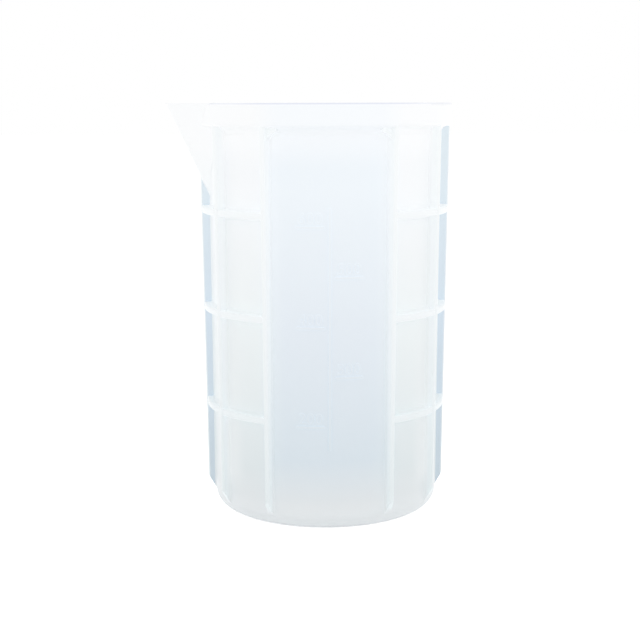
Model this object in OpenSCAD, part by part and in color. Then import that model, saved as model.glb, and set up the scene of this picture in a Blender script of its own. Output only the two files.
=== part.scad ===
// Silicone cup for mixing casting resin, with a pouring spout and a stiffening lattice of ribs.
// The origin is the centre of the base on the cup's axis. The scale faces -Y and the spout -X.

/* [Cup] */
// Height from the base to the top of the rim
cup_h = 156; // [120:1:180]
// Outer diameter of the rim
rim_d = 97; // [92:0.5:104]
// Outer diameter of the wall where it meets the rim
wall_d_top = 88.4; // [84:0.2:89]
// Outer diameter of the wall carried down to the base
wall_d_base = 86.8; // [82:0.2:88]
// Thickness of the wall
wall_t = 2; // [1.6:0.1:3]
// Thickness of the floor
floor_t = 2.4; // [2:0.1:4]
// Outside radius of the rounded heel round the base
heel_r = 6; // [4.5:0.5:8]
// Inside radius between the floor and the wall
inner_heel_r = 4; // [2:0.5:6]

/* [Rim] */
// Height of the thick band round the mouth
rim_h = 8.6; // [6:0.2:12]
// Rounding of the band's edges
rim_edge_r = 1.1; // [0.6:0.1:1.5]

/* [Spout] */
// Reach of the spout's tip from the cup's axis
spout_reach = 60.8; // [58:0.2:62]
// Lean of the spout's keel away from upright, in degrees
spout_lean = 25; // [22:0.5:28]
// Half of the angle between the spout's two flanks, seen from above, in degrees
spout_half = 50; // [48:0.5:52]
// Half of the angle between the flanks of the pouring channel, in degrees
channel_half = 45; // [43:0.1:47]
// Outside radius of the keel
keel_r = 5; // [3.5:0.5:7]
// Radius of the bottom of the channel
channel_r = 2.8; // [2:0.1:4]
// Thickness of the spout at its keel
lip_t = 2.6; // [2:0.1:3.5]

/* [Lattice] */
// Width of a rib at its outer edge
rib_w = 2; // [1.6:0.1:2.4]
// Width of a rib where it meets the wall
rib_root_w = 2.6; // [2.2:0.1:3]
// Diameter over the ribs at the rim
rib_d_top = 96.8; // [94:0.2:97]
// Diameter over the ribs carried down to the base
rib_d_base = 92.6; // [90:0.2:94]
// Rounding of the outer edges of the hoops
hoop_edge_r = 0.7; // [0.3:0.1:1]
// Radius of the hollow fillets between the lattice and the wall
root_r = 1.2; // [0.6:0.1:1.4]
// Height where the ribs begin to run out towards the heel
rib_foot_z = 10; // [8:0.5:12]
// Slope of that run-out above the level, in degrees
rib_foot_slope = 59; // [50:1:70]
// Radius in the top corners between the ribs and the band
panel_corner_r = 4; // [2:0.5:6]
// Height of the middle of the lowest hoop
hoop_z = 41; // [36:0.5:46]
// Spacing of the hoops
hoop_pitch = 37.5; // [34:0.5:38]
// Height of a hoop's section
hoop_w = 2.6; // [2:0.1:3.2]
// Step from the ribs' outer edge in to the hoops
hoop_inset = 0.5; // [0.4:0.1:0.8]

/* [Scale] */
// Raised height of the graduation
mark_t = 0.4; // [0.2:0.1:0.6]
// Thickness of the strokes
mark_w = 0.8; // [0.6:0.1:1.2]
// Volume between one graduation mark and the next, in cubic centimetres
ml_step = 100; // [50:50:100]
// Lowest mark, counted in steps
first_mark = 2; // [1:1:3]
// Highest mark, counted in steps
last_mark = 6; // [4:1:6]
// Length of a graduation mark
mark_l = 10; // [6:0.5:12]
// Clear space between the upright line and the marks
mark_gap = 1.6; // [1:0.2:3]
// Lowest point of the upright line
line_low = 31; // [26:1:36]
// Highest point of the upright line
line_high = 119; // [116:1:124]

/* [Hidden] */
$fn = 192;
eps = 0.01;
// How far a flat starts inside the round that it runs into
tuck = 0.04;
// Size of a cutting shape that reaches past the whole cup
big = 200;
// How far a shape runs on past the surface that trims it
overrun = 5;

// Colours of the wall, of the thicker pieces and of the raised marks
silicone = "#E6EDF2";
silicone_rib = "#F1F5F7";
silicone_mark = "#FAFCFD";

// Angle between neighbouring ribs, which leaves a panel of twice that angle in front and behind
rib_pitch = 30;
// Ribs on each side of the cup, and hoops one above the other
ribs_per_side = 5;
hoop_levels = 3;

rim_r = rim_d / 2;
wall_r_top = wall_d_top / 2;
wall_r_base = wall_d_base / 2;
rib_r_top = rib_d_top / 2;
rib_r_base = rib_d_base / 2;
wall_slope = (wall_r_top - wall_r_base) / cup_h;
rib_slope = (rib_r_top - rib_r_base) / cup_h;
wall_draft = atan(wall_slope);
rib_draft = atan(rib_slope);
rib_stand = rib_r_top - wall_r_top;
band_z = cup_h - rim_h;

// The hollow fillet under the band takes up what its rounded lower edge leaves of the overhang
rim_fillet_r = rim_r - rim_edge_r - wall_r_base - wall_slope * band_z;
fillet_low = band_z - rim_fillet_r;

// How far the fillets of a rib run out under the round wall, which falls away beside the rib
root_sink = tuck + pow(rib_w / 2 + root_r, 2) / wall_r_base;

// Depth below the rim within which the spout ends on the wall
spout_room = 50;

// Cubic millimetres in a cubic centimetre
ml_mm3 = 1000;

// Outer radius of the wall and of the ribs at a height
function wall_r(z) = wall_r_base + wall_slope * z;
function rib_r(z) = rib_r_base + rib_slope * z;

// Radius of the sloping run-out at the foot of a rib, at a height
function run_out_r(z) = rib_r(rib_foot_z) + (z - rib_foot_z) / tan(rib_foot_slope);

// Radius of the hollow inside at a height
function inner_r(z) = wall_r(z) - wall_t / cos(wall_draft);

// Height of the level at which the tapered inside holds a volume, from the volume of a cone's frustum
function fill_z(volume) =
    floor_t
    + (pow(pow(inner_r(floor_t), 3) + 3 * wall_slope * volume / PI, 1 / 3) - inner_r(floor_t))
    / wall_slope;

// Azimuth of a rib. side is 1 for the right of the scale and -1 for its left, place counts from the front
function rib_azimuth(side, place) = -90 + side * rib_pitch * place;

// Height of the middle of a hoop, with level 0 the lowest
function hoop_height(level) = hoop_z + hoop_pitch * level;

// Tapered half profile with a round corner at its foot, from the axis out to the wall.
// radius is the outer radius at height 0, slope its growth with height, corner the foot's radius.
module tapered_profile(radius, slope, corner, top) {
    centre_r = radius + slope * corner - corner * sqrt(1 + slope * slope);
    draft = atan(slope);
    polygon([
        [0, 0],
        [centre_r, 0],
        [centre_r + corner * cos(draft), corner - corner * sin(draft)],
        [radius + slope * top, top],
        [0, top]
    ]);
    translate([centre_r, corner]) circle(r = corner);
}

// Everything inside the outer skin of the wall, up to a height
module outer_body(top) {
    rotate_extrude() {
        intersection() {
            tapered_profile(wall_r_base, wall_slope, heel_r, top + 2 * heel_r);
            square([big, top]);
        }
    }
}

// The space that holds the resin, open at the top
module hollow() {
    translate([0, 0, floor_t]) {
        rotate_extrude() {
            intersection() {
                tapered_profile(inner_r(floor_t), wall_slope, inner_heel_r, cup_h);
                square([big, big]);
            }
        }
    }
}

// Ring section of the rim band with its rounded edges and the hollow fillet under it
module band_profile() {
    inside = inner_r(cup_h) - overrun;
    edge_r = rim_r - rim_edge_r;
    translate([inside, band_z]) square([edge_r - inside, rim_h]);
    translate([inside, band_z + rim_edge_r]) square([rim_r - inside, rim_h - 2 * rim_edge_r]);
    translate([edge_r, cup_h - rim_edge_r]) circle(r = rim_edge_r);
    translate([edge_r, band_z + rim_edge_r]) circle(r = rim_edge_r);
    difference() {
        translate([inside, fillet_low]) square([edge_r - tuck - inside, rim_fillet_r + eps]);
        translate([edge_r - tuck, fillet_low]) circle(r = rim_fillet_r);
    }
}

// Ring that rounds the inner edge of the mouth when it is cut away
module mouth_rounding() {
    edge_r = inner_r(cup_h) + rim_edge_r;
    low = cup_h - rim_edge_r;
    rotate_extrude() {
        difference() {
            translate([edge_r - rim_edge_r - overrun, low]) square([rim_edge_r + overrun, overrun]);
            translate([edge_r, low]) circle(r = rim_edge_r);
        }
    }
}

// Solid of revolution of the band, before the hollow is taken out
module band_body() {
    rotate_extrude() band_profile();
}

// Trough that leans out towards -X: a V with a round keel, swept along the lean and cut level at the rim.
// reach is the keel's distance from the axis at the rim, half the plan half angle, radius the keel's,
// and foot_r the radius of the round wall that the flanks run into.
module leaning_trough(reach, half, radius, foot_r) {
    flank_half = atan(tan(half) / cos(spout_lean));
    keel_centre = reach * cos(spout_lean) - radius;
    flank = radius - tuck;
    intersection() {
        translate([0, 0, cup_h])
            rotate([0, -spout_lean, 0])
                translate([0, 0, -big / 2])
                    linear_extrude(height = big) {
                        translate([-keel_centre, 0]) circle(r = radius);
                        polygon([
                            [-keel_centre - flank * sin(flank_half), -flank * cos(flank_half)],
                            [-keel_centre + big * cos(flank_half), -big * sin(flank_half)],
                            [-keel_centre + big * cos(flank_half), big * sin(flank_half)],
                            [-keel_centre - flank * sin(flank_half), flank * cos(flank_half)]
                        ]);
                    }
        translate([-big, -big / 2, cup_h - spout_room])
            cube([big - foot_r * sin(half), big, spout_room]);
    }
}

module spout_outside() {
    leaning_trough(spout_reach, spout_half, keel_r, wall_r(band_z));
}

module spout_channel() {
    translate([0, 0, eps])
        leaning_trough(spout_reach - lip_t / cos(spout_lean), channel_half, channel_r, inner_r(cup_h));
}

module cup_base() {
    color(silicone) outer_body(floor_t);
}

module cup_wall() {
    color(silicone)
        difference() {
            outer_body(band_z);
            translate([0, 0, -big + floor_t]) cylinder(r = big, h = big);
            hollow();
            spout_channel();
        }
}

module rim_band() {
    color(silicone_rib)
        difference() {
            band_body();
            outer_body(band_z);
            hollow();
            mouth_rounding();
            spout_channel();
        }
}

module pouring_spout() {
    color(silicone_rib)
        difference() {
            spout_outside();
            spout_channel();
            outer_body(band_z);
            band_body();
            translate([0, 0, band_z - eps]) cylinder(r = inner_r(cup_h) + eps, h = rim_h + overrun);
        }
}

// Hollow fillets beside a strip of half width half, on a surface that faces +X.
// They run out sink below x = 0, so that they cross the surface at an angle.
module root_section(half, sink) {
    difference() {
        translate([-overrun, -half - root_r]) square([overrun + root_r - sink, 2 * (half + root_r)]);
        for (s = [-1, 1]) translate([root_r - sink, s * (half + root_r)]) circle(r = root_r);
    }
}

// Section of a rib seen along its length: tapered sides run into a round outer edge at x = 0
module rib_section() {
    edge_r = rib_w / 2;
    root = rib_root_w / 2;
    translate([-edge_r, 0]) circle(r = edge_r);
    polygon([
        [-rib_stand - overrun, -root],
        [-rib_stand, -root],
        [-edge_r, -edge_r + tuck],
        [-edge_r, edge_r - tuck],
        [-rib_stand, root],
        [-rib_stand - overrun, root]
    ]);
}

// Upright blade that follows the taper of the lattice, from the run-out at the heel up into the band
module rib_blade() {
    inside = wall_r_base - overrun;
    intersection() {
        union() {
            translate([rib_r_base, 0, 0])
                rotate([0, rib_draft, 0])
                    linear_extrude(height = cup_h) rib_section();
            translate([wall_r_base, 0, 0])
                rotate([0, wall_draft, 0])
                    linear_extrude(height = cup_h) root_section(rib_w / 2 - tuck, root_sink);
        }
        rotate([90, 0, 0])
            linear_extrude(height = 2 * overrun, center = true)
                polygon([
                    [run_out_r(heel_r / 2), heel_r / 2],
                    [run_out_r(2 * rib_foot_z), 2 * rib_foot_z],
                    [rib_r_top + overrun, band_z + rim_edge_r],
                    [inside, band_z + rim_edge_r],
                    [inside, heel_r / 2]
                ]);
    }
}

// Rounded corner between a rib and the band, on the rib's flank towards +Y or -Y of its own frame
module panel_corner(flank) {
    low = band_z - rim_fillet_r / 2 - panel_corner_r;
    inside = wall_r_base - overrun;
    round_y = rib_w / 2 + panel_corner_r - tuck;
    rotate([90, 0, 90])
        translate([0, 0, inside])
            linear_extrude(height = rib_r(low) - rib_w - inside)
                scale([flank, 1])
                    difference() {
                        translate([0, low]) square([round_y, band_z - low]);
                        translate([round_y, low]) circle(r = panel_corner_r);
                    }
}

// Ring section of a hoop with rounded outer corners, centred on its height
module hoop_section(z) {
    edge = rib_r(z) - hoop_inset;
    root = wall_r_base - overrun;
    translate([root, z - hoop_w / 2]) square([edge - hoop_edge_r - root, hoop_w]);
    translate([root, z - hoop_w / 2 + hoop_edge_r]) square([edge - root, hoop_w - 2 * hoop_edge_r]);
    for (s = [-1, 1])
        translate([edge - hoop_edge_r, z + s * (hoop_w / 2 - hoop_edge_r)]) circle(r = hoop_edge_r);
    translate([wall_r(z), z]) root_section(hoop_w / 2 - tuck, tuck);
}

// Whole arc of a hoop between the front and the back rib of one side
module hoop_arc(side, level) {
    start = min(rib_azimuth(side, 1), rib_azimuth(side, ribs_per_side));
    rotate([0, 0, start])
        rotate_extrude(angle = rib_pitch * (ribs_per_side - 1))
            hoop_section(hoop_height(level));
}

module hoop(side, level) {
    color(silicone_rib)
        difference() {
            hoop_arc(side, level);
            outer_body(band_z);
        }
}

// One rib of the lattice, notched where the hoops run through it
module rib(side, place) {
    color(silicone_rib)
        difference() {
            rotate([0, 0, rib_azimuth(side, place)]) {
                rib_blade();
                if (place == 1) panel_corner(-side);
                if (place == ribs_per_side) panel_corner(side);
            }
            outer_body(band_z);
            band_body();
            spout_outside();
            for (level = [0:hoop_levels - 1]) hoop_arc(side, level);
        }
}

// Skin of the wall lifted by the height of the marks
module mark_skin(z_low, z_high) {
    rotate_extrude()
        polygon([
            [wall_r(z_low) - wall_t / 2, z_low],
            [wall_r(z_low) + mark_t, z_low],
            [wall_r(z_high) + mark_t, z_high],
            [wall_r(z_high) - wall_t / 2, z_high]
        ]);
}

// Raised stroke on the front panel, from x_low to x_high and z_low to z_high
module stroke(x_low, x_high, z_low, z_high) {
    intersection() {
        mark_skin(z_low, z_high);
        translate([x_low, -big, z_low - overrun])
            cube([x_high - x_low, big, z_high - z_low + 2 * overrun]);
    }
}

module scale_line() {
    color(silicone_mark)
        difference() {
            stroke(-mark_w / 2, mark_w / 2, line_low, line_high);
            outer_body(band_z);
        }
}

// Column of marks on one side of the line, at every second step of volume from the first one given.
// side is 1 for the right of the line and -1 for its left.
module mark_column(side, first) {
    near = mark_w / 2 + mark_gap;
    far = near + mark_l;
    color(silicone_mark)
        difference() {
            for (step = [first:2:last_mark]) {
                z = fill_z(step * ml_step * ml_mm3);
                stroke(side > 0 ? near : -far, side > 0 ? far : -near, z - mark_w / 2, z + mark_w / 2);
            }
            outer_body(band_z);
        }
}

module scale_marks_left() {
    mark_column(-1, first_mark);
}

module scale_marks_right() {
    mark_column(1, first_mark + 1);
}

cup_base();
cup_wall();
rim_band();
pouring_spout();
rib(1, 1);  // rib_front_right
rib(1, 2);  // rib_fore_right
rib(1, 3);  // rib_side_right
rib(1, 4);  // rib_aft_right
rib(1, 5);  // rib_back_right
rib(-1, 1);  // rib_front_left
rib(-1, 2);  // rib_fore_left
rib(-1, 3);  // rib_under_spout
rib(-1, 4);  // rib_aft_left
rib(-1, 5);  // rib_back_left
hoop(1, 0);  // hoop_lower_right
hoop(1, 1);  // hoop_middle_right
hoop(1, 2);  // hoop_upper_right
hoop(-1, 0);  // hoop_lower_left
hoop(-1, 1);  // hoop_middle_left
hoop(-1, 2);  // hoop_upper_left
scale_line();
scale_marks_left();
scale_marks_right();
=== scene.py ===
"""Looks of the resin mixing cup: milky silicone, moulded ribs and hoops, and a raised scale.

Laid out as a Blender add-on and run as a script. Lengths are in metres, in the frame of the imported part:
the origin is the centre of the base, the scale faces -Y and the spout -X.
"""

import math

import bpy
from bpy.props import FloatProperty, FloatVectorProperty, IntProperty, PointerProperty
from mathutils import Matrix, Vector


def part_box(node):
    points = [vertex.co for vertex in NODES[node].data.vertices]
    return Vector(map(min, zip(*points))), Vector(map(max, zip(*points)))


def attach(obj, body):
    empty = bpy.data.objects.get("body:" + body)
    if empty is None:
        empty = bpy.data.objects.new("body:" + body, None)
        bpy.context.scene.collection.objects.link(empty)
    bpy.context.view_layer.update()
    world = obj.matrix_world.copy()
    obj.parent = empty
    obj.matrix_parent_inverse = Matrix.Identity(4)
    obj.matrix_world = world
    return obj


bl_info = {
    "name": "Resin mixing cup",
    "version": (1, 0, 0),
    "blender": (4, 5, 0),
    "location": "View3D > Sidebar > Mixing Cup",
    "description": "Builds the finish of a silicone mixing cup around its packed parts",
    "category": "Object",
}

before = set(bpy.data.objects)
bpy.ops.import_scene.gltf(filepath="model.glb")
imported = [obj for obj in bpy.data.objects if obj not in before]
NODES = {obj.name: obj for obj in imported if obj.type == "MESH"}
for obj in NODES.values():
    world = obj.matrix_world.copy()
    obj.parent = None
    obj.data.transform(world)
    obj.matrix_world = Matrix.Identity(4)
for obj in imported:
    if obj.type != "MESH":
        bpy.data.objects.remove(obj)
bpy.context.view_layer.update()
BODY = "root"

RIB_NODES = tuple(name for name in NODES if name.startswith("rib_"))
HOOP_NODES = tuple(name for name in NODES if name.startswith("hoop_"))
MARK_NODES = ("scale_line", "scale_marks_left", "scale_marks_right")

# Height of the cup, and the top and the outer radius of its wall under the rim
CUP_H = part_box("rim_band")[1].z
WALL_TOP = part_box("cup_wall")[1].z
WALL_R_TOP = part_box("cup_wall")[1].y

# Growth of the wall's radius with height, and its radius carried down to the base
WALL_SLOPE = 0.0008 / 0.156
WALL_R_BASE = WALL_R_TOP - WALL_SLOPE * WALL_TOP

# Thickness of the strokes of the scale, and the depth to which its numbers are set in the wall
MARK_W = 0.0008
NUMERAL_ROOT = 0.0003

WHITE = (1.0, 1.0, 1.0, 1.0)


def linear(red, green, blue):
    """A colour given as it looks on screen, 0 to 255, as the linear colour that shaders take."""
    def one(value):
        value = value / 255
        return value / 12.92 if value <= 0.04045 else ((value + 0.055) / 1.055) ** 2.4
    return (one(red), one(green), one(blue))


# Node trees

class Wire:
    """A value in a node tree. An expression on wires and numbers adds the Math nodes for it."""

    def __init__(self, sheet, socket):
        self.sheet = sheet
        self.socket = socket

    def __add__(self, other):
        return self.sheet.maths("ADD", self, other)

    def __radd__(self, other):
        return self.sheet.maths("ADD", other, self)

    def __sub__(self, other):
        return self.sheet.maths("SUBTRACT", self, other)

    def __rsub__(self, other):
        return self.sheet.maths("SUBTRACT", other, self)

    def __mul__(self, other):
        return self.sheet.maths("MULTIPLY", self, other)

    def __rmul__(self, other):
        return self.sheet.maths("MULTIPLY", other, self)

    def __truediv__(self, other):
        return self.sheet.maths("DIVIDE", self, other)

    def __rtruediv__(self, other):
        return self.sheet.maths("DIVIDE", other, self)

    def __pow__(self, other):
        return self.sheet.maths("POWER", self, other)

    def __neg__(self):
        return self.sheet.maths("MULTIPLY", self, -1.0)

    def __abs__(self):
        return self.sheet.maths("ABSOLUTE", self)


class Sheet:
    """A node tree that is put together one node at a time."""

    def __init__(self, tree):
        self.tree = tree
        self.tree.nodes.clear()

    def add(self, kind, settings=None, inputs=None, output=0):
        """One node of a kind: first its settings, a ramp's stops among them, then the values or wires of its
        sockets."""
        node = self.tree.nodes.new(kind)
        for key, value in (settings or {}).items():
            if key == "stops":
                set_stops(node.color_ramp, value)
            else:
                setattr(node, key, value)
        for key, value in (inputs or {}).items():
            if isinstance(value, Wire):
                self.tree.links.new(value.socket, node.inputs[key])
            else:
                node.inputs[key].default_value = value
        return Wire(self, node.outputs[output]) if node.outputs else None

    def maths(self, operation, *values):
        """The result of a Math node."""
        return self.add("ShaderNodeMath", {"operation": operation}, dict(enumerate(values)))

    def largest(self, first, *others):
        """The largest of several values."""
        for other in others:
            first = self.maths("MAXIMUM", first, other)
        return first

    def split(self, vector):
        """The three parts of a vector."""
        return [self.add("ShaderNodeSeparateXYZ", inputs={0: vector}, output=axis) for axis in "XYZ"]

    def step(self, value, low, high):
        """0 below low and 1 above high, with a smooth rise between."""
        settings = {"interpolation_type": "SMOOTHSTEP", "clamp": True}
        return self.add("ShaderNodeMapRange", settings, {"Value": value, "From Min": low, "From Max": high})


class Moulding(Sheet):
    """A Geometry Nodes tree. It takes named inputs, and ends in Realize Instances and Set Material."""

    def __init__(self, name, **sizes):
        tree = bpy.data.node_groups.new(name, "GeometryNodeTree")
        super().__init__(tree)
        for key, kind in sizes.items():
            label = key.replace("_", " ").capitalize()
            tree.interface.new_socket(label, in_out="INPUT", socket_type=kind)
        tree.interface.new_socket("Material", in_out="INPUT", socket_type="NodeSocketMaterial")
        tree.interface.new_socket("Geometry", in_out="OUTPUT", socket_type="NodeSocketGeometry")
        self.given = tree.nodes.new("NodeGroupInput")

    def take(self, label):
        """The wire of a named input."""
        return Wire(self, self.given.outputs[label])

    def join(self, *pieces):
        """Several geometries as one."""
        node = self.tree.nodes.new("GeometryNodeJoinGeometry")
        for piece in pieces:
            self.tree.links.new(piece.socket, node.inputs[0])
        return Wire(self, node.outputs[0])

    def close(self, geometry):
        """Ends the tree in one mesh, in the material that it is given."""
        plain = self.add("GeometryNodeRealizeInstances", inputs={0: geometry})
        dressed = self.add("GeometryNodeSetMaterial", inputs={
            "Geometry": plain, "Material": self.take("Material")})
        self.add("NodeGroupOutput", inputs={0: dressed})

    def cast(self, name, slot, **values):
        """A plain mesh object made by the tree from values for its inputs. It rides on the cup."""
        blank = bpy.data.objects.new(name, bpy.data.meshes.new(name + " blank"))
        bpy.context.scene.collection.objects.link(blank)
        modifier = blank.modifiers.new(name, "NODES")
        modifier.node_group = self.tree
        for socket in self.tree.interface.items_tree:
            key = socket.name.lower().replace(" ", "_")
            if key in values:
                modifier[socket.identifier] = values[key]
        graph = bpy.context.evaluated_depsgraph_get()
        mesh = bpy.data.meshes.new_from_object(blank.evaluated_get(graph))
        if not mesh.polygons:
            raise RuntimeError(name + " came out empty")
        blank.modifiers.remove(modifier)
        blank.data = mesh
        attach(blank, BODY)


class Finish(Sheet):
    """A material's node tree."""

    def __init__(self, name):
        self.material = bpy.data.materials.new(name)
        self.material.use_nodes = True
        super().__init__(self.material.node_tree)

    def blend(self, factor, first, second, how="MIX"):
        """A colour between two, by a factor from 0 to 1."""
        settings = {"data_type": "RGBA", "blend_type": how}
        values = {0: factor, 6: opaque(first), 7: opaque(second)}
        return self.add("ShaderNodeMix", settings, values, output=2)

    def dim(self, colour, share):
        """A colour times a value."""
        grey = self.add("ShaderNodeCombineColor", inputs={0: share, 1: share, 2: share})
        return self.blend(1.0, colour, grey, how="MULTIPLY")

    def rise(self, value, *stops):
        """A colour that goes through stops, each a place from 0 to 1 and a colour, as a value grows."""
        return self.add("ShaderNodeValToRGB", {"stops": stops}, {0: value})

    def close(self, shader):
        """Ends the tree in a shader. The result is the finished material."""
        self.add("ShaderNodeOutputMaterial", inputs={"Surface": shader})
        return self.material


def opaque(colour):
    """A colour of three numbers with its alpha, or a wire as it is."""
    return colour if isinstance(colour, Wire) else (*colour[:3], 1.0)


def set_stops(ramp, stops):
    """A ramp's stops, each a place from 0 to 1 and a colour."""
    while len(ramp.elements) < len(stops):
        ramp.elements.new(1.0)
    for element, (place, colour) in zip(ramp.elements, stops):
        element.position = place
        element.color = opaque(colour)


# Settings

def tone(name, description, red, green, blue):
    """A colour setting."""
    return FloatVectorProperty(
        name=name, description=description, default=linear(red, green, blue),
        subtype="COLOR", size=3, min=0.0, max=1.0)


class MixingCupFinish(bpy.types.PropertyGroup):
    # Tones paling from foot to top carry painted shade and light: darker towards the base, whiter towards
    # the rim
    heel: tone("Heel", "Rounded heel and floor", 227, 231, 233)
    window_foot: tone("Window, foot", "Wall of the front and back windows near the base", 217, 227, 234)
    window_middle: tone("Window, middle", "Wall of the windows at half height", 229, 236, 243)
    window_top: tone("Window, top", "Wall of the windows near the rim", 241, 247, 252)
    frosted_foot: tone("Frosted side, foot", "Wall between the ribs near the base", 224, 231, 233)
    frosted_middle: tone("Frosted side, middle", "Wall between the ribs at half height", 238, 243, 244)
    frosted_top: tone("Frosted side, top", "Wall between the ribs near the rim", 249, 251, 253)
    # Painted light: a paler wall beside the outermost ribs, low down, that lifts the shade in the corner
    frosted_flank_painted_light: tone("Frosted side, flank", "Wall near the outermost ribs, low down", 236, 239, 240)
    edge_foot: tone("Rib edge, foot", "Outer edges of ribs and hoops near the base", 232, 239, 241)
    edge_middle: tone("Rib edge, middle", "Outer edges of ribs and hoops at half height", 242, 246, 248)
    edge_top: tone("Rib edge, top", "Outer edges of ribs and hoops near the rim", 249, 252, 253)
    # Painted shade: the fin tones darken and blue the sideways flanks of the outermost ribs
    fin_foot: tone("Fin, foot", "Thin flanks of the two outermost ribs near the base", 203, 215, 224)
    fin_middle: tone("Fin, middle", "Thin flanks of the two outermost ribs at half height", 213, 225, 236)
    fin_top: tone("Fin, top", "Thin flanks of the two outermost ribs near the rim", 226, 236, 242)
    rim: tone("Rim", "Thick silicone of the rim and the spout", 253, 254, 255)
    rim_front: tone("Rim over the windows", "Rim over the clearer windows", 249, 252, 255)
    # Painted shade: a darker blue line along the rim's rounded upper edge
    lip: tone("Lip", "Upward edge of the rim", 228, 231, 242)
    roughness: FloatProperty(
        name="Roughness", description="How matt the silicone is",
        default=0.42, min=0.0, max=1.0, subtype="FACTOR")
    # Glow is painted light: an emission that lifts the shade in creases, undersides and the hollow
    glow: FloatProperty(
        name="Glow", description="Light that comes through to creases, undersides and the hollow",
        default=0.14, min=0.0, max=1.0, subtype="FACTOR")
    cloud: FloatProperty(
        name="Cloud", description="Strength of the milky clouds in the silicone",
        default=0.02, min=0.0, max=0.2, subtype="FACTOR")


class MixingCupScale(bpy.types.PropertyGroup):
    numeral_height: FloatProperty(
        name="Numeral height", description="Height of the raised numbers",
        default=0.0042, min=0.001, unit="LENGTH")
    numeral_gap: FloatProperty(
        name="Numeral gap", description="Clear space between a mark and the number on it",
        default=0.0008, min=0.0, unit="LENGTH")
    raised: FloatProperty(
        name="Raised", description="How far the numbers stand out of the wall",
        default=0.00022, min=0.0, unit="LENGTH")
    lowest: IntProperty(
        name="Lowest", description="Number on the lowest mark, in millilitres", default=200, min=0)
    step: IntProperty(
        name="Step", description="Volume from one mark to the next, in millilitres", default=100, min=1)


class MixingCupStage(bpy.types.PropertyGroup):
    lens: FloatProperty(
        name="Lens", description="Focal length of the camera", default=74.52, min=20.0, unit="CAMERA")
    distance: FloatProperty(
        name="Distance", description="From the camera to the cup's axis, along the floor",
        default=0.5126, min=0.1, unit="LENGTH")
    height: FloatProperty(
        name="Height", description="Height of the camera over the floor",
        default=0.156, min=0.0, unit="LENGTH")
    pitch: FloatProperty(
        name="Pitch", description="How far the camera looks down",
        default=math.radians(9.315), subtype="ANGLE")
    turn: FloatProperty(
        name="Turn", description="Azimuth of the camera round the cup",
        default=math.radians(-2.0), subtype="ANGLE")
    aside: FloatProperty(
        name="Aside", description="How far the cup stands to the right of the picture's middle",
        default=0.0018, unit="LENGTH")
    roll: FloatProperty(
        name="Roll", description="How far the camera is tipped sideways",
        default=math.radians(0.15), subtype="ANGLE")
    daylight: FloatProperty(
        name="Daylight", description="Strength of the white room", default=1.0, min=0.0)
    softbox_left: FloatProperty(
        name="Left softbox", description="Power of the left softbox", default=0.6, min=0.0, unit="POWER")
    softbox_right: FloatProperty(
        name="Right softbox", description="Power of the right softbox", default=0.75, min=0.0, unit="POWER")


# Silicone

# Heights of the tones in each finish, foot first, as shares of the cup's height. Their paling with height is
# painted shade and light: darker at the foot, whiter near the rim
WINDOW_HEIGHTS = (0.06, 0.17, 0.47, 0.8)
FROSTED_HEIGHTS = (0.05, 0.14, 0.47, 0.8)
EDGE_HEIGHTS = (0.1, 0.45, 0.85)
FIN_HEIGHTS = (0.12, 0.45, 0.85)

# Each pair in the next four groups is two places between which one finish goes over into another.
# A side is 0 in the middle of a window, and 1 at the spout and opposite it
WINDOW_SIDE = (0.35, 0.6)
FLANK_SIDE = (0.7, 0.86)
FLANK_END_SIDE = (0.92, 0.98)
OUTER_RIB_SIDE = (0.93, 0.99)
LIP_FADE_SIDE = (0.45, 0.8)

# A height is a share of the cup's height
CREASE_HEIGHT = (0.0, 0.07)
FLANK_HEIGHT = (0.06, 0.12)
# Over these heights the spout and the wall whiten into the rim's colour: thick silicone at the rim, and
# painted light from above
WHITE_SPOUT_HEIGHT = (0.76, 0.92)
WHITE_WALL_HEIGHT = (0.84, 0.94)
LIP_HEIGHT = (0.99, 0.995)

# A stand is how far a face is out of the wall's outer face
INNER_FACE_STAND = (-0.0018, -0.001)
EDGE_STAND = (0.0, 0.0018)

# A facing is a part of a face's direction, from -1 to 1: upwards, outwards or sideways
UNDER_FACING = (-0.9, -0.2)
INWARD_FACING = (-0.5, -0.1)
UPWARD_FACING = (0.3, 0.7)
LEVEL_FACING = (0.97, 0.998)
SIDEWAYS_FACING = (0.35, 0.9)
STEEP_FACING = (0.5, 0.9)

# How much paler than the wall the scale is, and how much of the lip's painted line of shade is lost towards
# the sides
MARK_PALENESS = 0.15
LIP_FADE = 0.5

# Distance within which other faces make a crease, and the rays that look for them
CREASE_REACH = 0.012
CREASE_SAMPLES = 8

# Shares of the glow, painted light that lifts the shade, at the base, and how much they fall over the height
CREASE_GLOW, CREASE_GLOW_FALL = 1.6, 1.1
HOLLOW_GLOW, HOLLOW_GLOW_FALL = 1.4, 1.0
UNDER_GLOW, UNDER_GLOW_FALL = 0.75, 0.6

# Patterns that run through the silicone, and those that ripple its surface
CLOUDS = {"Scale": 55.0, "Detail": 3.0, "Roughness": 0.55}
HAZE = {"Scale": 16.0, "Detail": 2.0}
HAZE_SHARE = 0.4
GRAIN = {"Scale": 2600.0, "Detail": 2.0}
RIPPLE = {"Scale": 140.0, "Detail": 1.0}
RIPPLE_SHARE = 0.65
RELIEF = {"Strength": 0.25, "Distance": 0.0002}
ROUGHNESS_SPREAD = 0.12
SILICONE_IOR = 1.41


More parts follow.
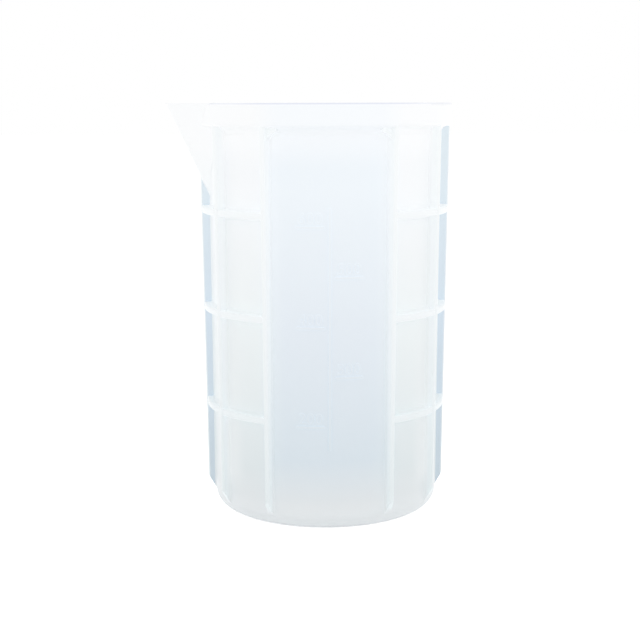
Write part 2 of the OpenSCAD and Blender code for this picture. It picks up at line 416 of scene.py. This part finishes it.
class Silicone(Finish):
    """Milky silicone, with painted shade that darkens it towards the base and painted light that whitens it
    towards the rim. It is clearer in the windows than at the sides, and has faint clouds. Creases,
    undersides and the hollow glow with painted light, an emission that lifts the shade there."""

    def __init__(self, name):
        super().__init__(name)
        self.look = bpy.context.scene.mixing_cup_finish
        self.point = self.add("ShaderNodeTexCoord", output="Object")
        x, y, z = self.split(self.point)
        nx, ny, self.upward = self.split(self.add("ShaderNodeTexCoord", output="Normal"))
        radius = (x * x + y * y) ** 0.5
        self.height = z / CUP_H
        self.side = abs(x) / radius
        self.stand = radius - (WALL_R_BASE + WALL_SLOPE * z)
        self.outward = (nx * x + ny * y) / radius

    def climb(self, heights, *tones):
        """A colour that goes through tones, each at its height over the base; their rise carries painted
        shade, darker towards the base.
        """
        return self.rise(self.height, *zip(heights, tones))

    def band(self):
        """Colour of the rim and the spout."""
        return self.blend(self.step(self.side, *WINDOW_SIDE), self.look.rim_front, self.look.rim)

    def edge(self):
        """Colour of the outer edges of ribs and hoops."""
        look = self.look
        return self.climb(EDGE_HEIGHTS, look.edge_foot, look.edge_middle, look.edge_top)

    def wall(self):
        """Colour of the wall and the floor, darker towards the base as painted shade, whiter into the rim's
        colour near the top as painted light, with painted light on the wall beside the outermost ribs.
        """
        look = self.look
        window = self.climb(
            WINDOW_HEIGHTS, look.heel, look.window_foot, look.window_middle, look.window_top)
        frosted = self.climb(
            FROSTED_HEIGHTS, look.heel, look.frosted_foot, look.frosted_middle, look.frosted_top)
        # Painted light on the wall beside the outermost ribs, low down, lifting the shade in the corner
        flank = self.step(self.side, *FLANK_SIDE) * (1 - self.step(self.side, *FLANK_END_SIDE))
        flank = flank * (1 - self.height) * self.step(self.height, *FLANK_HEIGHT)
        frosted = self.blend(flank, frosted, look.frosted_flank_painted_light)
        wall = self.blend(self.step(self.side, *WINDOW_SIDE), window, frosted)
        return self.blend(self.step(self.height, *WHITE_WALL_HEIGHT), wall, self.band())

    def mouth(self):
        """Colour of the rim and the spout, with the line of the lip painted in as shade."""
        colour = self.blend(self.step(self.height, *WHITE_SPOUT_HEIGHT), self.edge(), self.band())
        rounding = self.step(self.upward, *UPWARD_FACING) * (1 - self.step(self.upward, *LEVEL_FACING))
        fade = 1 - LIP_FADE * self.step(self.side, *LIP_FADE_SIDE)
        return self.blend(rounding * self.step(self.height, *LIP_HEIGHT) * fade, colour, self.look.lip)

    def mark(self):
        """Colour of the raised scale, a little paler than the wall."""
        return self.blend(MARK_PALENESS, self.wall(), self.edge())

    def lattice(self):
        """Colour of ribs and hoops: the wall's at their roots, paler at their edges, and painted shade,
        darker and bluer, on the sideways flanks of the outermost fins."""
        look = self.look
        colour = self.blend(self.step(self.stand, *EDGE_STAND), self.wall(), self.edge())
        # Painted shade: the outermost ribs' sideways flanks darken to the fin tones
        fin = self.climb(FIN_HEIGHTS, look.fin_foot, look.fin_middle, look.fin_top)
        sideways = self.step(1 - abs(self.outward), *SIDEWAYS_FACING)
        steep = 1 - self.step(abs(self.upward), *STEEP_FACING)
        return self.blend(sideways * steep * self.step(self.side, *OUTER_RIB_SIDE), colour, fin)

    def painted_light_share(self):
        """Share of the glow that a place gets: painted light, an emission that lifts the shade in creases,
        undersides and the hollow.
        """
        samples, reach = {"samples": CREASE_SAMPLES}, {"Distance": CREASE_REACH}
        crease = 1 - self.add("ShaderNodeAmbientOcclusion", samples, reach, output="AO")
        crease = crease * self.step(self.height, *CREASE_HEIGHT)
        floor = (1 - self.step(self.stand, *INNER_FACE_STAND)) * self.step(self.upward, *UPWARD_FACING)
        hollow = self.largest(floor, 1 - self.step(self.outward, *INWARD_FACING))
        under = 1 - self.step(self.upward, *UNDER_FACING)
        return (crease * (CREASE_GLOW - CREASE_GLOW_FALL * self.height)
                + hollow * (HOLLOW_GLOW - HOLLOW_GLOW_FALL * self.height)
                + under * (UNDER_GLOW - UNDER_GLOW_FALL * self.height))

    def coat(self, colour):
        """The finished material in a colour."""
        cloud, haze, grain, ripple = (
            self.add("ShaderNodeTexNoise", inputs={"Vector": self.point, **pattern})
            for pattern in (CLOUDS, HAZE, GRAIN, RIPPLE))
        colour = self.dim(colour, 1 - self.look.cloud * ((1 - HAZE_SHARE) * cloud + HAZE_SHARE * haze))
        relief = self.add("ShaderNodeBump", inputs={
            **RELIEF, "Height": (1 - RIPPLE_SHARE) * grain + RIPPLE_SHARE * ripple})
        # The emission is painted light that lifts the shade in creases, undersides and the hollow
        return self.close(self.add("ShaderNodeBsdfPrincipled", inputs={
            "Base Color": colour, "Roughness": self.look.roughness + ROUGHNESS_SPREAD * (cloud - 0.5),
            "IOR": SILICONE_IOR, "Normal": relief, "Emission Color": self.dim(colour, self.painted_light_share()),
            "Emission Strength": self.look.glow}))


def dress(names, material):
    """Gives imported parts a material."""
    for name in names:
        slots = NODES[name].data.materials
        slots.clear()
        slots.append(material)


class MIXINGCUP_OT_shell(bpy.types.Operator):
    """Finish the base and the wall in milky silicone, clearer in the windows than between the ribs"""
    bl_idname = "mixing_cup.shell"
    bl_label = "Base and wall"

    def execute(self, context):
        silicone = Silicone("silicone wall")
        dress(("cup_base", "cup_wall"), silicone.coat(silicone.wall()))
        return {"FINISHED"}


class MIXINGCUP_OT_mouth(bpy.types.Operator):
    """Finish the rim and the pouring spout, which are thick and nearly white"""
    bl_idname = "mixing_cup.mouth"
    bl_label = "Rim and spout"

    def execute(self, context):
        silicone = Silicone("silicone rim")
        dress(("rim_band", "pouring_spout"), silicone.coat(silicone.mouth()))
        return {"FINISHED"}


class MIXINGCUP_OT_lattice(bpy.types.Operator):
    """Finish the ribs and the hoops"""
    bl_idname = "mixing_cup.lattice"
    bl_label = "Ribs and hoops"

    def execute(self, context):
        silicone = Silicone("silicone rib")
        dress(RIB_NODES + HOOP_NODES, silicone.coat(silicone.lattice()))
        return {"FINISHED"}


# Scale

# Size of the font for a numeral of height 1, its spacing and the steps in each of its curves
FONT_SIZE = 1.37
FONT_SPACING = 1.06
FONT_STEPS = 5

# Distance within which the points of a numeral's face and sides are one
WELD = 1e-7


def numerals():
    """Tree for a column of raised numbers on the conical wall, one over each mark of a side of the scale."""
    sheet = Moulding(
        "scale numerals", first="NodeSocketInt", step="NodeSocketInt", count="NodeSocketInt",
        lowest_baseline="NodeSocketFloat", pitch="NodeSocketFloat", across="NodeSocketFloat",
        height="NodeSocketFloat", raised="NodeSocketFloat", root="NodeSocketFloat",
        wall_radius="NodeSocketFloat", wall_slope="NodeSocketFloat")
    start = sheet.tree.nodes.new("GeometryNodeRepeatInput")
    end = sheet.tree.nodes.new("GeometryNodeRepeatOutput")
    start.pair_with_output(end)
    sheet.tree.links.new(sheet.take("Count").socket, start.inputs["Iterations"])
    turn = Wire(sheet, start.outputs["Iteration"])
    done = Wire(sheet, start.outputs["Geometry"])

    number = sheet.add("FunctionNodeValueToString", inputs={
        "Value": sheet.take("First") + turn * sheet.take("Step")})
    text = sheet.add("GeometryNodeStringToCurves", {"align_x": "CENTER", "align_y": "BOTTOM_BASELINE"}, {
        "String": number, "Size": sheet.take("Height") * FONT_SIZE, "Character Spacing": FONT_SPACING})
    curves = sheet.add("GeometryNodeRealizeInstances", inputs={0: text})
    curves = sheet.add("GeometryNodeSetSplineResolution", inputs={
        "Geometry": curves, "Resolution": FONT_STEPS})
    flat = sheet.add("GeometryNodeFillCurve", inputs={"Curve": curves})
    thick = sheet.add("GeometryNodeExtrudeMesh", inputs={
        "Mesh": flat, "Offset Scale": sheet.take("Raised") + sheet.take("Root"), "Individual": False})
    whole = sheet.join(thick, sheet.add("GeometryNodeFlipFaces", inputs={"Mesh": flat}))
    whole = sheet.add("GeometryNodeMergeByDistance", inputs={"Geometry": whole, "Distance": WELD})

    x, y, z = sheet.split(sheet.add("GeometryNodeInputPosition"))
    level = y + sheet.take("Lowest baseline") + turn * sheet.take("Pitch")
    wall = sheet.take("Wall radius") + level * sheet.take("Wall slope")
    angle = (x + sheet.take("Across")) / wall
    out = wall + z - sheet.take("Root")
    place = sheet.add("ShaderNodeCombineXYZ", inputs={
        0: out * sheet.maths("SINE", angle), 1: -out * sheet.maths("COSINE", angle), 2: level})
    wrapped = sheet.add("GeometryNodeSetPosition", inputs={"Geometry": whole, "Position": place})
    sheet.tree.links.new(sheet.join(done, wrapped).socket, end.inputs["Geometry"])
    sheet.close(Wire(sheet, end.outputs["Geometry"]))
    return sheet


class MIXINGCUP_OT_scale(bpy.types.Operator):
    """Finish the raised line and marks of the scale, and put the numbers over the marks"""
    bl_idname = "mixing_cup.scale"
    bl_label = "Scale"

    def execute(self, context):
        rule = context.scene.mixing_cup_scale
        silicone = Silicone("silicone mark")
        material = silicone.coat(silicone.mark())
        dress(MARK_NODES, material)
        tree = numerals()
        # The marks go up left and right by turns, so each side's numbers rise by two steps
        for place, (side, count) in enumerate({"left": 3, "right": 2}.items()):
            low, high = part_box("scale_marks_" + side)
            tree.cast(
                "scale_numbers_" + side, "silicone_mark", material=material,
                first=rule.lowest + place * rule.step, step=2 * rule.step, count=count,
                lowest_baseline=low.z + MARK_W + rule.numeral_gap,
                pitch=(high.z - low.z - MARK_W) / (count - 1), across=(low.x + high.x) / 2,
                height=rule.numeral_height, raised=rule.raised, root=NUMERAL_ROOT,
                wall_radius=WALL_R_BASE, wall_slope=WALL_SLOPE)
        return {"FINISHED"}


# Stage

# Share of white with which the floor shines to the camera, on top of the light that it returns
FLOOR_SHINE = 0.65
FLOOR_PAINT = (0.9, 0.9, 0.9, 1.0)
FLOOR_SIZE = 12

# Width of the softboxes, and their places
SOFTBOX_SIZE = 0.9
SOFTBOX_LEFT = (-0.9, -0.8, 0.9)
SOFTBOX_RIGHT = (1.0, -0.6, 0.8)


def seen(sheet):
    """1 for what the camera sees, straight, mirrored or through glass, and 0 for light that falls."""
    kinds = ("Is Camera Ray", "Is Glossy Ray", "Is Transmission Ray")
    return sheet.largest(*(sheet.add("ShaderNodeLightPath", output=kind) for kind in kinds))


def white_floor():
    """Floor that the camera sees as white, and that keeps the cup's shadow."""
    sheet = Finish("floor white")
    paint = sheet.add("ShaderNodeBsdfDiffuse", inputs={"Color": FLOOR_PAINT})
    dark = sheet.add("ShaderNodeEmission", inputs={"Strength": 0.0})
    shine = sheet.add("ShaderNodeEmission", inputs={"Color": WHITE, "Strength": 1.0})
    shine = sheet.add("ShaderNodeMixShader", inputs={0: FLOOR_SHINE * seen(sheet), 1: dark, 2: shine})
    return sheet.close(sheet.add("ShaderNodeAddShader", inputs={0: paint, 1: shine}))


def white_room(strength):
    """World that lights the cup evenly and that the camera sees as white."""
    world = bpy.data.worlds.new("white room")
    world.use_nodes = True
    sheet = Sheet(world.node_tree)
    room = sheet.add("ShaderNodeBackground", inputs={
        "Color": WHITE, "Strength": strength + (1.0 - strength) * seen(sheet)})
    sheet.add("ShaderNodeOutputWorld", inputs={"Surface": room})
    return world


def softbox(name, place, power):
    """Large square lamp at a place, turned towards the middle of the cup."""
    lamp = bpy.data.lights.new(name, "AREA")
    lamp.size = SOFTBOX_SIZE
    lamp.energy = power
    thing = bpy.data.objects.new(name, lamp)
    thing.location = place
    thing.rotation_euler = (Vector((0, 0, CUP_H / 2)) - Vector(place)).to_track_quat("-Z", "Y").to_euler()
    bpy.context.scene.collection.objects.link(thing)


class MIXINGCUP_OT_stage(bpy.types.Operator):
    """Set the camera, the white floor and room and two softboxes"""
    bl_idname = "mixing_cup.stage"
    bl_label = "Stage"

    def execute(self, context):
        scene = context.scene
        stage = scene.mixing_cup_stage

        lens = bpy.data.cameras.new("camera")
        lens.lens = stage.lens
        lens.clip_start = 0.01
        camera = bpy.data.objects.new("camera", lens)
        ahead = Vector((-math.sin(stage.turn), math.cos(stage.turn), 0))
        right = Vector((math.cos(stage.turn), math.sin(stage.turn), 0))
        camera.location = -ahead * stage.distance - right * stage.aside + Vector((0, 0, stage.height))
        camera.rotation_euler = (math.pi / 2 - stage.pitch, stage.roll, stage.turn)
        scene.collection.objects.link(camera)
        scene.camera = camera

        bpy.ops.mesh.primitive_plane_add(size=FLOOR_SIZE)
        floor = context.object
        floor.name = "floor"
        floor.data.materials.append(white_floor())

        scene.world = white_room(stage.daylight)
        softbox("softbox left", SOFTBOX_LEFT, stage.softbox_left)
        softbox("softbox right", SOFTBOX_RIGHT, stage.softbox_right)
        scene.view_settings.view_transform = "Standard"
        return {"FINISHED"}


# Add-on

class MIXINGCUP_PT_build(bpy.types.Panel):
    """Sizes and colours of the cup, and a button for each group of pieces"""
    bl_idname = "MIXINGCUP_PT_build"
    bl_label = "Mixing Cup"
    bl_space_type = "VIEW_3D"
    bl_region_type = "UI"
    bl_category = "Mixing Cup"

    def draw(self, context):
        for group, kind in SETTINGS.items():
            box = self.layout.box()
            for name in kind.__annotations__:
                box.prop(getattr(context.scene, group), name)
        for operator in OPERATORS:
            self.layout.operator(operator.bl_idname)


SETTINGS = {
    "mixing_cup_finish": MixingCupFinish,
    "mixing_cup_scale": MixingCupScale,
    "mixing_cup_stage": MixingCupStage,
}
OPERATORS = (
    MIXINGCUP_OT_stage,
    MIXINGCUP_OT_shell,
    MIXINGCUP_OT_mouth,
    MIXINGCUP_OT_lattice,
    MIXINGCUP_OT_scale,
)


def register():
    for kind in (*SETTINGS.values(), *OPERATORS, MIXINGCUP_PT_build):
        bpy.utils.register_class(kind)
    for name, kind in SETTINGS.items():
        setattr(bpy.types.Scene, name, PointerProperty(type=kind))


def unregister():
    for name in SETTINGS:
        delattr(bpy.types.Scene, name)
    for kind in reversed((*SETTINGS.values(), *OPERATORS, MIXINGCUP_PT_build)):
        bpy.utils.unregister_class(kind)


def main():
    register()
    for operator in OPERATORS:
        group, name = operator.bl_idname.split(".")
        getattr(getattr(bpy.ops, group), name)()


if __name__ == "__main__":
    main()
